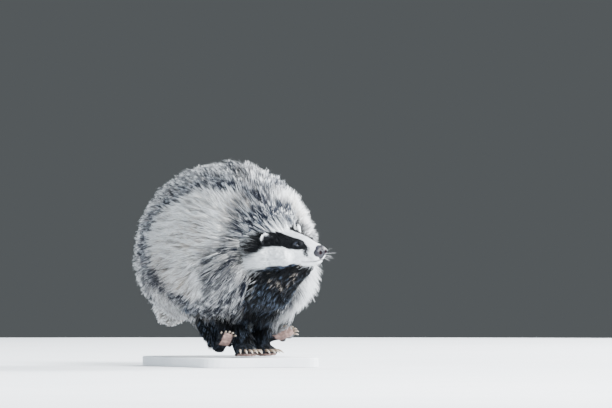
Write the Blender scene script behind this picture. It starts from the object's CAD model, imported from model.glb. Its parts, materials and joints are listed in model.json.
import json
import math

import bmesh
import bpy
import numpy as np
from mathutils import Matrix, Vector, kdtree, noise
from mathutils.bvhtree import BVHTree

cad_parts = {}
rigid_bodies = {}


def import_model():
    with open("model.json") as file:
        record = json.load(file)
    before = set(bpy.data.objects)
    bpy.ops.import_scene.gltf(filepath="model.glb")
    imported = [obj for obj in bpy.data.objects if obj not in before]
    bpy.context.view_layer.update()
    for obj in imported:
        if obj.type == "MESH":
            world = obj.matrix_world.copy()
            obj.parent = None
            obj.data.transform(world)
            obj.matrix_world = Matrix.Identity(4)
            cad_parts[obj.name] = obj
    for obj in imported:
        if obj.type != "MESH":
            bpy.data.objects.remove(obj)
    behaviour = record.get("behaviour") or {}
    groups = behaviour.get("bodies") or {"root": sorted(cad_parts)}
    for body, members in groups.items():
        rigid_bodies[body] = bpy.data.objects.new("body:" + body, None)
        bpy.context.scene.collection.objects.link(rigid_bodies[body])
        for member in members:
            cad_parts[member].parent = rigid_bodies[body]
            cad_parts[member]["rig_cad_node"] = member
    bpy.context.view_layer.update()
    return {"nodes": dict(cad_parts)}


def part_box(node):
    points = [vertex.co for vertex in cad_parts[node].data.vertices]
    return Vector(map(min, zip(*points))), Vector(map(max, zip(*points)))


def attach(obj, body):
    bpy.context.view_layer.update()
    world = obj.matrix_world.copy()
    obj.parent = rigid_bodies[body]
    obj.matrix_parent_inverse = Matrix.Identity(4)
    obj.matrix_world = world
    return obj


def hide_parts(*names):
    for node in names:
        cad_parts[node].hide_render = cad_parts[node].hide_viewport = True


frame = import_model()

# A European badger, mounted life size. The solids carry the outline out to the
# tips of the coat. Here one skin stands inside them, and the coat is laid over
# it as closed, tapering locks.
#
# Lengths are metres. Shapes are laid out in the body's own frame: +X the way the
# body faces, +Y its left, z = 0 the top of the base. place() moves them to the
# model's frame.

for _o in list(bpy.data.objects):       # a start-up file's own cube, lamp and camera
    if "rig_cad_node" not in _o and not _o.name.startswith("body:"):
        bpy.data.objects.remove(_o)
RNG = np.random.default_rng(20240)

_lo, _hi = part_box("stand_base")
SHIFT = np.array([(_lo.x + _hi.x) / 2 + 0.040, (_lo.y + _hi.y) / 2, _hi.z])

# ---- dimensions shared with the solids -----------------------------------------
TRUNK_HALF_WIDTH = 0.149
NOSE_TIP = np.array([0.285, 0.0572, 0.2032])
HEAD_YAW, HEAD_PITCH, HEAD_ROLL = 22.0, 6.0, 10.0
EYE_RADIUS = 0.0052
EYE_AT = np.array([-0.0511, 0.0157, 0.0099])
EYE_OUT = np.array([0.28, 0.764, 0.58]) / np.linalg.norm([0.28, 0.764, 0.58])
HIND_SLIM = 0.84
EAR_AT = (-0.1060, 0.0425, 0.0140)
EAR_WIDE = (-0.508, 0.758, -0.405)
EAR_HIGH = (-0.353, 0.245, 0.903)

SKIN_VOXEL = 0.0020


def linear(r, g, b):
    """Linear light from 8-bit display values."""
    c = np.array([r, g, b], float) / 255
    return np.where(c <= 0.04045, c / 12.92, ((c + 0.055) / 1.055) ** 2.4)


WHITE = linear(240, 242, 244)
CREAM = linear(217, 216, 214)
BUFF = linear(178, 168, 157)
BLACK = linear(10, 12, 16)
BAND = linear(14, 21, 37)
FLANK = linear(214, 216, 218)
SLATE = linear(90, 104, 124)
GREY = linear(150, 152, 156)


# ---- small tools -----------------------------------------------------------------
def smooth(a, b, x):
    t = np.clip((np.asarray(x, float) - a) / (b - a), 0, 1)
    return t * t * (3 - 2 * t)


def unit(v):
    v = np.asarray(v, float)
    return v / np.maximum(np.linalg.norm(v, axis=-1, keepdims=True), 1e-12)


def pchip(xs, ys, x):
    """Smooth interpolation through stations that never overshoots them."""
    xs, ys = np.asarray(xs, float), np.asarray(ys, float)
    h, d = np.diff(xs), np.diff(ys) / np.diff(xs)
    m = np.zeros(len(xs))
    for i in range(1, len(xs) - 1):
        if d[i - 1] * d[i] > 0:
            w1, w2 = 2 * h[i] + h[i - 1], h[i] + 2 * h[i - 1]
            m[i] = (w1 + w2) / (w1 / d[i - 1] + w2 / d[i])
    m[0], m[-1] = d[0], d[-1]
    x = np.clip(x, xs[0], xs[-1])
    i = np.clip(np.searchsorted(xs, x) - 1, 0, len(h) - 1)
    t = (x - xs[i]) / h[i]
    return ((2 * t**3 - 3 * t**2 + 1) * ys[i] + (t**3 - 2 * t**2 + t) * h[i] * m[i]
            + (-2 * t**3 + 3 * t**2) * ys[i + 1] + (t**3 - t**2) * h[i] * m[i + 1])


def wander(points, scale, seed):
    """Smooth vector noise at each point, each part about -0.5 to 0.5."""
    s = 1.0 / scale
    o = Vector((seed * 7.13, seed * 3.77, seed * 5.31))
    return np.array([noise.noise_vector(Vector(p) * s + o) for p in points.tolist()])


# ---- the head's own frame ----------------------------------------------------------
def head_axes():
    yaw, pitch, roll = (math.radians(v) for v in (HEAD_YAW, HEAD_PITCH, HEAD_ROLL))
    u = np.array([math.cos(yaw), math.sin(yaw), 0])
    v = np.array([-math.sin(yaw), math.cos(yaw), 0])
    w = np.array([0, 0, 1.0])
    u, w = u * math.cos(pitch) - w * math.sin(pitch), w * math.cos(pitch) + u * math.sin(pitch)
    v, w = v * math.cos(roll) + w * math.sin(roll), w * math.cos(roll) - v * math.sin(roll)
    return u, v, w


HU, HV, HW = head_axes()
HEAD = np.stack([HU, HV, HW])           # rows: the head's axes


def head_point(u, v, w):
    return NOSE_TIP + HU * u + HV * v + HW * w


def to_head(points):
    return (points - NOSE_TIP) @ HEAD.T


# ---- forms: (vertices, faces) -------------------------------------------------------
def superpoint(angle, a, top, bottom, e, e_low):
    c, s = np.cos(angle), np.sin(angle)
    e = np.where(s > 0, e, e_low)
    return (a * np.sign(c) * np.abs(c) ** (2 / e),
            np.where(s > 0, top, bottom) * np.sign(s) * np.abs(s) ** (2 / e))


def lofted(rings):
    """Closed loft over equal rings, shape (rows, around, 3)."""
    rings = np.asarray(rings)
    r, n = rings.shape[:2]
    v = np.concatenate([rings.reshape(-1, 3), [rings[0].mean(0)], [rings[-1].mean(0)]])
    i, k = np.meshgrid(np.arange(r - 1), np.arange(n), indexing="ij")
    a, b = i * n + k, i * n + (k + 1) % n
    quads = np.stack([a, b, b + n, a + n], -1).reshape(-1, 4)
    k = np.arange(n)
    lo = np.stack([np.full(n, r * n), (k + 1) % n, k], 1)
    hi = np.stack([np.full(n, r * n + 1), (r - 1) * n + k, (r - 1) * n + (k + 1) % n], 1)
    return v, [*quads.tolist(), *lo.tolist(), *hi.tolist()]


def tube(stations, up=(0, 0, 1), inset=0.0, rings=44, sides=36):
    s = np.array(stations, float)
    if np.any(inset):
        s[:, 3:6] = np.maximum(s[:, 3:6] - np.asarray(inset, float).reshape(-1, 1), 0.0015)
    along = np.concatenate([[0], np.cumsum(np.linalg.norm(np.diff(s[:, :3], axis=0), axis=1))])
    at = np.linspace(0, along[-1], rings)
    v = np.stack([pchip(along, s[:, k], at) for k in range(s.shape[1])], axis=1)
    ang = 2 * np.pi * np.arange(sides) / sides
    out = []
    for i in range(rings):
        t = unit(v[min(i + 1, rings - 1), :3] - v[max(i - 1, 0), :3])
        u = np.array(up, float)
        u = unit(u - t * (u @ t))
        side = np.cross(u, t)
        x, z = superpoint(ang, v[i, 3], v[i, 4], v[i, 5], v[i, 6], v[i, 6])
        out.append(v[i, :3] + side * x[:, None] + u * z[:, None])
    return lofted(out)


def ball(centre, radii, turn=None, u=28, v=18):
    """An ellipsoid; turn's rows are its own axes."""
    turn = np.eye(3) if turn is None else np.asarray(turn)
    th = np.linspace(0, np.pi, v + 1)[1:-1]
    ph = 2 * np.pi * np.arange(u) / u
    rings = [np.stack([np.sin(t) * np.cos(ph), np.sin(t) * np.sin(ph), np.full(u, np.cos(t))], 1) for t in th]
    verts, faces = lofted(rings)
    verts[-2], verts[-1] = (0, 0, 1), (0, 0, -1)
    return (verts * np.array(radii)) @ turn + np.asarray(centre), faces


# x, half width, top z, bottom z, level of the greatest width, exponents above and below
TRUNK = (
    (-0.298, 0.012, 0.205, 0.180, 0.192, 2.0, 2.0),
    (-0.290, 0.052, 0.246, 0.135, 0.182, 2.0, 2.1),
    (-0.270, 0.088, 0.284, 0.096, 0.176, 2.1, 2.3),
    (-0.232, 0.122, 0.322, 0.074, 0.180, 2.15, 2.1),
    (-0.180, 0.143, 0.352, 0.064, 0.190, 2.15, 2.15),
    (-0.110, 0.152, 0.370, 0.062, 0.196, 2.15, 2.3),
    (-0.030, 0.152, 0.373, 0.062, 0.196, 2.15, 2.6),
    (0.040, 0.147, 0.361, 0.064, 0.186, 2.15, 2.7),
    (0.095, 0.134, 0.328, 0.074, 0.174, 2.15, 2.5),
    (0.135, 0.110, 0.284, 0.088, 0.166, 2.1, 2.3),
    (0.158, 0.082, 0.246, 0.106, 0.166, 2.0, 2.1),
    (0.171, 0.045, 0.208, 0.134, 0.168, 2.0, 2.0),
    (0.175, 0.012, 0.180, 0.160, 0.170, 2.0, 2.0),
)
NECK = ((0.020, 0.000, 0.234, 0.112, 0.100, 0.105, 2.0), (0.070, 0.004, 0.226, 0.103, 0.093, 0.100, 2.0),
        (0.110, 0.009, 0.218, 0.090, 0.080, 0.090, 2.0), (0.142, 0.013, 0.212, 0.080, 0.074, 0.078, 2.0),
        (0.168, 0.016, 0.209, 0.070, 0.062, 0.066, 2.0), (0.190, 0.024, 0.207, 0.054, 0.046, 0.052, 2.0))
TAIL = ((-0.250, 0.000, 0.215, 0.034, 0.034, 0.034, 2), (-0.282, -0.002, 0.190, 0.044, 0.040, 0.040, 2),
        (-0.300, -0.005, 0.150, 0.048, 0.042, 0.042, 2), (-0.307, -0.009, 0.110, 0.047, 0.040, 0.040, 2),
        (-0.309, -0.012, 0.084, 0.042, 0.035, 0.035, 2), (-0.308, -0.013, 0.066, 0.030, 0.024, 0.024, 2),
        (-0.307, -0.013, 0.056, 0.010, 0.008, 0.008, 2))
# u, half width, top, bottom, level of greatest width, exponent
SKULL = (
    (-0.0065, 0.0085, 0.0085, -0.0105, -0.002, 2.2),
    (-0.0100, 0.0130, 0.0115, -0.0145, -0.002, 2.3),
    (-0.0180, 0.0168, 0.0145, -0.0178, -0.003, 2.3),
    (-0.0290, 0.0196, 0.0178, -0.0205, -0.005, 2.2),
    (-0.0410, 0.0228, 0.0215, -0.0232, -0.006, 2.15),
    (-0.0540, 0.0280, 0.0250, -0.0270, -0.006, 2.1),
    (-0.0680, 0.0360, 0.0280, -0.0325, -0.008, 2.2),
    (-0.0840, 0.0460, 0.0300, -0.0390, -0.010, 2.3),
    (-0.1000, 0.0540, 0.0320, -0.0450, -0.010, 2.3),
    (-0.1160, 0.0600, 0.0350, -0.0500, -0.008, 2.2),
    (-0.1340, 0.0650, 0.0400, -0.0540, -0.006, 2.1),
    (-0.1520, 0.0640, 0.0420, -0.0540, -0.004, 2.0),
    (-0.1650, 0.0480, 0.0380, -0.0460, -0.002, 2.0),
)
JAW = (
    (-0.0095, 0.0050, -0.0155, -0.0205, -0.0180, 2.0),
    (-0.0120, 0.0095, -0.0130, -0.0236, -0.0185, 2.1),
    (-0.0210, 0.0135, -0.0110, -0.0272, -0.0190, 2.1),
    (-0.0380, 0.0172, -0.0100, -0.0312, -0.0200, 2.1),
    (-0.0560, 0.0225, -0.0080, -0.0355, -0.0200, 2.1),
    (-0.0760, 0.0320, -0.0080, -0.0410, -0.0200, 2.0),
    (-0.0950, 0.0400, -0.0080, -0.0460, -0.0200, 2.0),
)
# how deep the coat stands over the head's skin, by distance behind the nose tip
HEAD_COAT = ((-0.175, 0.022), (-0.150, 0.018), (-0.130, 0.0125), (-0.110, 0.0080), (-0.090, 0.0052),
             (-0.070, 0.0034), (-0.055, 0.0022), (-0.040, 0.0018), (-0.020, 0.0013), (-0.0065, 0.0006))


def head_coat(u):
    t = np.array(HEAD_COAT)
    return pchip(t[:, 0], t[:, 1], u)


def head_form(table, top_extra=0.0, rows=52, sides=44):
    t = np.array(table)[::-1]
    f = np.linspace(0, 1, rows)
    us = t[0, 0] + (t[-1, 0] - t[0, 0]) * 0.5 * (1 - np.cos(np.pi * f))
    ang = 2 * np.pi * np.arange(sides) / sides
    out = []
    for u in us:
        hw, top, bot, mid, e = (float(pchip(t[:, 0], t[:, k], u)) for k in range(1, 6))
        c = float(head_coat(u))
        hw, top, bot = max(hw - c, 0.0015), max(top - mid - c - top_extra, 0.0012), max(mid - bot - c, 0.0012)
        v, w = superpoint(ang, hw, top, bot, e, e)
        out.append(NOSE_TIP + HU * u + HV * v[:, None] + HW * (mid + w)[:, None])
    return lofted(out)


BACK_COAT, BELLY_COAT = 0.027, 0.013


def trunk_form():
    t = np.array(TRUNK)
    t[:, 1] *= TRUNK_HALF_WIDTH / 0.152
    mid = t[:, 4].copy()
    low_mid, high_mid = t[0, 0], t[-1, 0]
    t[:, 1] = np.maximum(t[:, 1] - BACK_COAT, 0.004)
    t[:, 2] = np.maximum(t[:, 2] - BACK_COAT, mid + 0.004)
    t[:, 3] = np.minimum(t[:, 3] + BELLY_COAT, mid - 0.004)
    c, half = (low_mid + high_mid) / 2, (high_mid - low_mid) / 2
    t[:, 0] = c + (t[:, 0] - c) * (half - 0.021) / half
    rows = []
    ang = 2 * np.pi * np.arange(64) / 64
    for f in np.linspace(0, 1, 70):
        x = t[0, 0] + (t[-1, 0] - t[0, 0]) * 0.5 * (1 - math.cos(math.pi * f))
        hw, top, bot, m, e, e_low = (float(pchip(t[:, 0], t[:, k], x)) for k in range(1, 7))
        y, z = superpoint(ang, hw, top - m, m - bot, e, e_low)
        rows.append(np.stack([np.full(64, x), y, m + z], 1))
    return lofted(rows)


# ---- legs and paws -------------------------------------------------------------------
FORELEG = {
    "right": ((0.085, -0.070, 0.200, 0.030, 0.034, 0.034, 2), (0.072, -0.078, 0.160, 0.040, 0.044, 0.044, 2),
              (0.052, -0.062, 0.118, 0.033, 0.036, 0.036, 2), (0.048, -0.042, 0.082, 0.030, 0.028, 0.028, 2),
              (0.050, -0.025, 0.054, 0.0235, 0.022, 0.022, 2), (0.053, -0.017, 0.034, 0.0190, 0.018, 0.018, 2),
              (0.056, -0.014, 0.018, 0.012, 0.012, 0.012, 2)),
    "left": ((0.085, 0.078, 0.200, 0.030, 0.034, 0.034, 2), (0.066, 0.086, 0.160, 0.040, 0.044, 0.044, 2),
             (0.038, 0.074, 0.118, 0.033, 0.036, 0.036, 2), (0.026, 0.055, 0.082, 0.025, 0.026, 0.026, 2),
             (0.025, 0.040, 0.054, 0.0225, 0.022, 0.022, 2), (0.028, 0.033, 0.034, 0.0185, 0.018, 0.018, 2),
             (0.031, 0.031, 0.018, 0.012, 0.012, 0.012, 2)),
}
HINDLEG = {
    "right": ((-0.160, -0.072, 0.175, 0.030, 0.040, 0.040, 2), (-0.115, -0.086, 0.145, 0.044, 0.054, 0.054, 2),
              (-0.062, -0.088, 0.118, 0.036, 0.042, 0.042, 2), (-0.018, -0.073, 0.086, 0.0265, 0.028, 0.028, 2),
              (0.004, -0.058, 0.052, 0.0205, 0.020, 0.020, 2), (0.013, -0.050, 0.030, 0.0150, 0.016, 0.016, 2)),
    "left": ((-0.165, 0.072, 0.175, 0.030, 0.040, 0.040, 2), (-0.130, 0.088, 0.145, 0.044, 0.054, 0.054, 2),
             (-0.090, 0.098, 0.120, 0.036, 0.042, 0.042, 2), (-0.060, 0.090, 0.092, 0.025, 0.028, 0.028, 2),
             (-0.040, 0.076, 0.064, 0.0185, 0.019, 0.019, 2), (-0.031, 0.068, 0.046, 0.0150, 0.016, 0.016, 2)),
}
PAWS = {
    "forepaw_right": dict(at=(0.052, -0.0139, 0.0185), heading=-5, rise=0, roll=0, hind=False, side=-1),
    "forepaw_left": dict(at=(0.027, 0.0312, 0.0185), heading=5, rise=0, roll=0, hind=False, side=1),
    "hindpaw_right": dict(at=(0.018, -0.0475, 0.0198), heading=-5, rise=24, roll=-10, hind=True, side=-1),
    "hindpaw_left": dict(at=(-0.0275, 0.0660, 0.0370), heading=30, rise=14, roll=-38, hind=True, side=1),
}


def paw_turn(p):
    """Rows: forwards, to its left, up."""
    h, r = math.radians(p["heading"]), math.radians(p["rise"])
    x = Vector((math.cos(h) * math.cos(r), math.sin(h) * math.cos(r), math.sin(r)))
    y = Vector((-math.sin(h), math.cos(h), 0))
    m = Matrix((x, y, x.cross(y))).transposed() @ Matrix.Rotation(math.radians(p["roll"]), 3, "X")
    return np.array(m).T


def turned(turn, angle):
    """turn, swung about its own up axis."""
    return np.array(Matrix(turn.T.tolist()) @ Matrix.Rotation(angle, 3, "Z")).T


def toe_layout(p):
    hind, side = p["hind"], p["side"]
    reach = 0.058 if hind else 0.036
    out = []
    for k in range(5):
        across = (k - 2) * (0.0074 * HIND_SLIM if hind else 0.0080) * side
        back = (0.0125, 0.0025, 0.0, 0.0015, 0.0075)[k] * (1.0 if hind else 0.9)
        splay = math.radians((k - 2) * (5 if hind else 7) * side)
        out.append((np.array([reach - back, across, -0.001]), splay))
    return out


def paw_forms(p):
    turn, at = paw_turn(p), np.array(p["at"])
    hind = p["hind"]
    place_at = lambda v: at + np.asarray(v) @ turn
    if hind:
        body = ((-0.012, 0, 0.002, 0.010, 0.012, 0.009, 2), (0.000, 0, 0.001, 0.0150, 0.016, 0.0135, 2.2),
                (0.024, 0, -0.001, 0.0165, 0.0125, 0.0120, 2.4), (0.044, 0, -0.002, 0.0195, 0.0110, 0.0110, 2.5),
                (0.058, 0, -0.002, 0.0185, 0.0090, 0.0095, 2.5), (0.062, 0, -0.002, 0.0140, 0.0060, 0.0070, 2.2))
    else:
        body = ((-0.014, 0, 0.000, 0.010, 0.010, 0.010, 2), (-0.006, 0, 0.001, 0.0155, 0.0165, 0.0170, 2.2),
                (0.010, 0, -0.001, 0.0188, 0.0140, 0.0165, 2.5), (0.026, 0, -0.004, 0.0205, 0.0120, 0.0140, 2.6),
                (0.036, 0, -0.005, 0.0200, 0.0100, 0.0130, 2.5), (0.042, 0, -0.006, 0.0155, 0.0070, 0.0100, 2.2))
    slim = HIND_SLIM if hind else 1.0
    rows = [(*place_at(s[:3]), s[3] * slim - 0.0018, s[4] - 0.0018, s[5] - 0.0026, s[6]) for s in body]
    forms = [tube(rows, up=turn[2], rings=26, sides=28)]
    low = -0.0035 if hind else -0.0105
    for k, (root, splay) in enumerate(toe_layout(p)):
        t = turned(turn, splay)
        c = place_at(root + np.array([0.0030, 0, low + (0.0024 if hind else 0.0050)]))
        forms.append(ball(c, (0.0116, 0.0040 if hind else 0.0050, 0.0058), t, 18, 12))
        # toe pad, and the ball of the foot behind it
        c = place_at(root + np.array([0.0050, 0, low - (0.0022 if hind else 0.0008)]))
        forms.append(ball(c, (0.0058, 0.0040, 0.0034), t, 14, 10))
        c = place_at(root + np.array([-0.0110, 0, low - (0.0050 if hind else 0.0020)]))
        forms.append(ball(c, (0.0066, 0.0048, 0.0030), t, 14, 10))
    if hind:
        forms.append(ball(place_at((0.006, 0, -0.0085)), (0.0120, 0.0095, 0.0034), turn, 16, 10))
    return forms


def claw_form(p, root, splay):
    turn, at = turned(paw_turn(p), splay), np.array(p["at"])
    hind = p["hind"]
    length, thick = (0.0170, 0.0026) if hind else (0.0270, 0.0031)
    drop = 0.55 if hind else 0.50
    low = -0.0005 if hind else -0.0050
    start = at + (root + np.array([0.0095, 0, low])) @ paw_turn(p)
    rows = []
    for f in np.linspace(0, 1, 15):
        ang = f * drop * 1.9 - 0.30
        x = length * (math.sin(ang) - math.sin(-0.30)) / (drop * 1.9)
        z = length * (math.cos(ang) - math.cos(-0.30)) / (drop * 1.9)
        r = thick * (1 - f) ** 0.55 * (1.0 if f else 0.96) + 0.00022
        rows.append((*(start + np.array([x, 0, z]) @ turn), r * 0.72, r * 0.96, r * 0.96, 2.0))
    return tube(rows, up=turn[2], rings=26, sides=16)


# ---- meshes in Blender -----------------------------------------------------------------
def collected(forms):
    v, f, n = [], [], 0
    for a, b in forms:
        v.append(a)
        f += [[i + n for i in q] for q in b]
        n += len(a)
    return np.concatenate(v), f


def mesh_of(name, v, f):
    me = bpy.data.meshes.new(name)
    me.from_pydata(np.asarray(v).tolist(), [], f if isinstance(f, list) else f.tolist())
    me.update()
    return me


def with_modifiers(me, *mods):
    o = bpy.data.objects.new("work", me)
    bpy.context.scene.collection.objects.link(o)
    for kind, values in mods:
        m = o.modifiers.new(kind.lower(), kind)
        for k, x in values.items():
            setattr(m, k, x)
    graph = bpy.context.evaluated_depsgraph_get()
    out = bpy.data.meshes.new_from_object(o.evaluated_get(graph))
    bpy.data.objects.remove(o)
    return out


def outward(me):
    """Gives every closed shell an outward side."""
    bm = bmesh.new()
    bm.from_mesh(me)
    bmesh.ops.recalc_face_normals(bm, faces=bm.faces)
    bm.to_mesh(me)
    bm.free()
    return me


def points_of(me):
    co = np.empty(len(me.vertices) * 3)
    me.vertices.foreach_get("co", co)
    return co.reshape(-1, 3)


def set_points(me, v):
    me.vertices.foreach_set("co", np.asarray(v, np.float32).ravel())
    me.update()


def edges_of(me):
    e = np.empty(len(me.edges) * 2, np.int32)
    me.edges.foreach_get("vertices", e)
    return e.reshape(-1, 2)


def diffuse(x, edges, n, rounds, share=0.5, weight=None):
    """Softens values over a mesh."""
    x = np.array(x, float)
    flat = x.ndim == 1
    if flat:
        x = x[:, None]
    a, b = edges.T
    deg = np.maximum(np.bincount(a, minlength=n) + np.bincount(b, minlength=n), 1)[:, None]
    w = share if weight is None else share * np.asarray(weight)[:, None]
    for _ in range(rounds):
        s = np.stack([np.bincount(a, x[b, k], n) + np.bincount(b, x[a, k], n) for k in range(x.shape[1])], 1)
        x = x + w * (s / deg - x)
    return x[:, 0] if flat else x


def vertex_normals(v, tris):
    fn = np.cross(v[tris[:, 1]] - v[tris[:, 0]], v[tris[:, 2]] - v[tris[:, 0]])
    n = np.zeros_like(v)
    for k in range(3):
        for c in range(3):
            n[:, c] += np.bincount(tris[:, k], fn[:, c], len(v))
    return unit(n)


# ---- the skin's forms --------------------------------------------------------------------
EAR_FRAMES = {}
for _side in (-1, 1):
    _wide = np.array([EAR_WIDE[0], _side * EAR_WIDE[1], EAR_WIDE[2]]) @ HEAD
    _high = np.array([EAR_HIGH[0], _side * EAR_HIGH[1], EAR_HIGH[2]]) @ HEAD
    _face = np.cross(_wide, _high) * _side
    _face = unit(_face if _face @ HU > 0 else -_face)
    EAR_FRAMES[_side] = (head_point(EAR_AT[0], _side * EAR_AT[1], EAR_AT[2]), _face, unit(_wide), unit(_high))


def ear_form(side):
    """A cupped shell: a rounded leaf bent forwards at its edges, with a rolled rim."""
    at, face, wide, high = EAR_FRAMES[side]
    rows, cols = 22, 26
    front, back = [], []
    for i in range(rows):
        h = -0.55 + 1.50 * i / (rows - 1)                 # below the root to the tip
        half = 0.0128 * math.sqrt(max(1 - (max(h, -0.1) / 0.98) ** 2, 0.02)) * (1.0 - 0.05 * h)
        fr, bk = [], []
        for k in range(cols):
            t = -1 + 2 * k / (cols - 1)
            x = half * math.sin(t * math.pi / 2)
            z = 0.0160 * h + 0.0008 * abs(t)
            cup = 0.0060 * (abs(t) ** 2.2) * (1 - 0.25 * h) + 0.0028 * max(h, 0) ** 2 - 0.0035
            thick = 0.0011 + 0.0010 * (1 - abs(t) ** 3) * (1 - 0.5 * max(h, 0))
            c = at + wide * x + high * z + face * cup
            fr.append(c + face * thick)
            bk.append(c - face * thick)
        front.append(fr)
        back.append(bk)
    rings = [np.array(f + b[::-1]) for f, b in zip(front, back)]
    return lofted(rings)


groups = []            # (label, forms)
groups.append(("trunk", [trunk_form(), ball((-0.010, 0, 0.3280), (0.088, 0.020, 0.0210))]))
groups.append(("neck", [tube(NECK, inset=(0.026, 0.026, 0.025, 0.023, 0.020, 0.014))]))
groups.append(("tail", [tube(TAIL, up=(1, 0, 0), inset=(0.012, 0.020, 0.023, 0.023, 0.021, 0.013, 0.004))]))
THROAT = [(*head_point(-0.030, 0, -0.020), 0.010, 0.010, 0.010, 2), (*head_point(-0.050, 0, -0.030), 0.020, 0.018, 0.018, 2),
          (*head_point(-0.080, 0, -0.040), 0.034, 0.030, 0.030, 2), (*head_point(-0.115, 0, -0.052), 0.048, 0.044, 0.044, 2),
          (0.140, 0.010, 0.140, 0.056, 0.050, 0.050, 2), (0.110, 0.0, 0.120, 0.050, 0.040, 0.040, 2)]
groups.append(("throat", [tube(THROAT, inset=(0.0025, 0.005, 0.009, 0.013, 0.016, 0.016))]))
_head = [head_form(SKULL), head_form(JAW)]
for _side in (-1, 1):
    _head.append(ball(head_point(-0.092, _side * 0.0290, -0.012), (0.033, 0.0175, 0.020), HEAD))
    _head.append(ball(head_point(-0.058, _side * 0.0150, 0.0148), (0.017, 0.0068, 0.0060), HEAD))
    _head.append(ball(head_point(-0.0190, _side * 0.0080, -0.0090), (0.0128, 0.0090, 0.0084), HEAD))
groups.append(("head", _head))
groups.append(("ear_right", [ear_form(-1)]))
groups.append(("ear_left", [ear_form(1)]))
for _side in ("right", "left"):
    groups.append((f"foreleg_{_side}", [tube(FORELEG[_side], up=(1, 0, 0.2),
                                             inset=(0.014, 0.014, 0.012, 0.0105, 0.0075, 0.0052, 0.0025))]))
    groups.append((f"hindleg_{_side}", [tube(HINDLEG[_side], up=(1, 0, 0.2),
                                             inset=(0.014, 0.014, 0.012, 0.0090, 0.0066, 0.0040))]))
for _name, _p in PAWS.items():
    groups.append((_name, paw_forms(_p)))
LABELS = [g[0] for g in groups]

sources, source_label, forms = [], [], []
for k, (label, fs) in enumerate(groups):
    for f in fs:
        forms.append(f)
        sources.append(f[0])
        source_label += [k] * len(f[0])
sources = np.concatenate(sources)
work = outward(mesh_of("forms", *collected(forms)))
skin_mesh = with_modifiers(work, ("REMESH", dict(mode="VOXEL", voxel_size=SKIN_VOXEL, adaptivity=0.0)))
bpy.data.meshes.remove(work)


def labelled(v):
    """For each point, the form whose surface is nearest."""
    tree = kdtree.KDTree(len(sources))
    for i, p in enumerate(sources.tolist()):
        tree.insert(p, i)
    tree.balance()
    lab = np.array(source_label)
    return lab[np.array([tree.find(p)[1] for p in v.tolist()])]


def is_in(label_ids, *names):
    return np.isin(label_ids, [LABELS.index(n) for n in names])


v = points_of(skin_mesh)
ids = labelled(v)
h = to_head(v)
soften = np.where(is_in(ids, "head"), 0.10 + 0.5 * smooth(-0.09, -0.14, h[:, 0]), 1.0)
soften = np.where(is_in(ids, "ear_left", "ear_right"), 0.10, soften)
soften = np.where(is_in(ids, *PAWS), 0.06, soften)
soften = np.where(is_in(ids, "foreleg_left", "foreleg_right", "hindleg_left", "hindleg_right"), 0.45, soften)
e = edges_of(skin_mesh)
soften = diffuse(soften, e, len(v), 6)
v = diffuse(v, e, len(v), 40, 0.5, soften)
# the planted feet are flat beneath
v[:, 2] = np.where(is_in(ids, "forepaw_left", "forepaw_right"), np.maximum(v[:, 2], 0.0006), v[:, 2])
set_points(skin_mesh, v)

# ---- finer mesh on the face, ears and paws ------------------------------------------------
bm = bmesh.new()
bm.from_mesh(skin_mesh)
bm.verts.ensure_lookup_table()
fine = (is_in(ids, "head", "throat") & (h[:, 0] > -0.068)) | is_in(ids, "ear_left", "ear_right")
cut = [ed for ed in bm.edges if fine[ed.verts[0].index] and fine[ed.verts[1].index]]
bmesh.ops.subdivide_edges(bm, edges=cut, cuts=1, use_grid_fill=True)
eyes_at = [Vector(head_point(EYE_AT[0] + 0.001, sd * (EYE_AT[1] + 0.0035), EYE_AT[2] + 0.002)) for sd in (-1, 1)]
cut = [ed for ed in bm.edges if all(min((vt.co - c).length for c in eyes_at) < 0.0110 for vt in ed.verts)]
bmesh.ops.subdivide_edges(bm, edges=cut, cuts=1, use_grid_fill=True)
bmesh.ops.triangulate(bm, faces=bm.faces)
bm.to_mesh(skin_mesh)
bm.free()
v = points_of(skin_mesh)
ids = labelled(v)
e = edges_of(skin_mesh)
h = to_head(v)
near_face = 0.5 * smooth(-0.088, -0.060, h[:, 0]) * is_in(ids, "head", "throat")
v = diffuse(v, e, len(v), 3, 0.5, near_face)
cheek = np.maximum(smooth(-0.054, -0.064, h[:, 0]) * smooth(0.014, 0.024, np.abs(h[:, 1])),
                   smooth(-0.040, -0.054, h[:, 0]) * smooth(0.006, 0.001, h[:, 2]))
cheek = cheek * is_in(ids, "head", "throat") * smooth(-0.125, -0.105, h[:, 0])
v = diffuse(v, e, len(v), 40, 0.5, cheek)


def triangles_of(me):
    me.calc_loop_triangles()
    t = np.empty(len(me.loop_triangles) * 3, np.int32)
    me.loop_triangles.foreach_get("vertices", t)
    return t.reshape(-1, 3)


tris = triangles_of(skin_mesh)

# ---- the face: lids, brows, mouth ------------------------------------------------------------
MOUTH = np.array([(-0.0420, 0.0186, -0.0204), (-0.0381, 0.0171, -0.0208), (-0.0300, 0.0156, -0.0203),
                  (-0.0236, 0.0140, -0.0194), (-0.0170, 0.0120, -0.0186), (-0.0131, 0.0094, -0.0180),
                  (-0.0112, 0.0050, -0.0170), (-0.0105, 0.0000, -0.0162)])


def to_line(p, line):
    """Distance from points to a polyline, and how far along it is nearest."""
    best, where = np.full(len(p), 1e9), np.zeros(len(p))
    for k, (a, b) in enumerate(zip(line[:-1], line[1:])):
        d = b - a
        t = np.clip((p - a) @ d / (d @ d), 0, 1)
        dist = np.linalg.norm(p - a - t[:, None] * d, axis=1)
        closer = dist < best
        best, where = np.where(closer, dist, best), np.where(closer, k + t, where)
    return best, where / (len(line) - 1)


def mirrored(hp):
    """Head points folded on to the animal's left side."""
    q = hp.copy()
    q[:, 1] = np.abs(q[:, 1])
    return q


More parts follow.
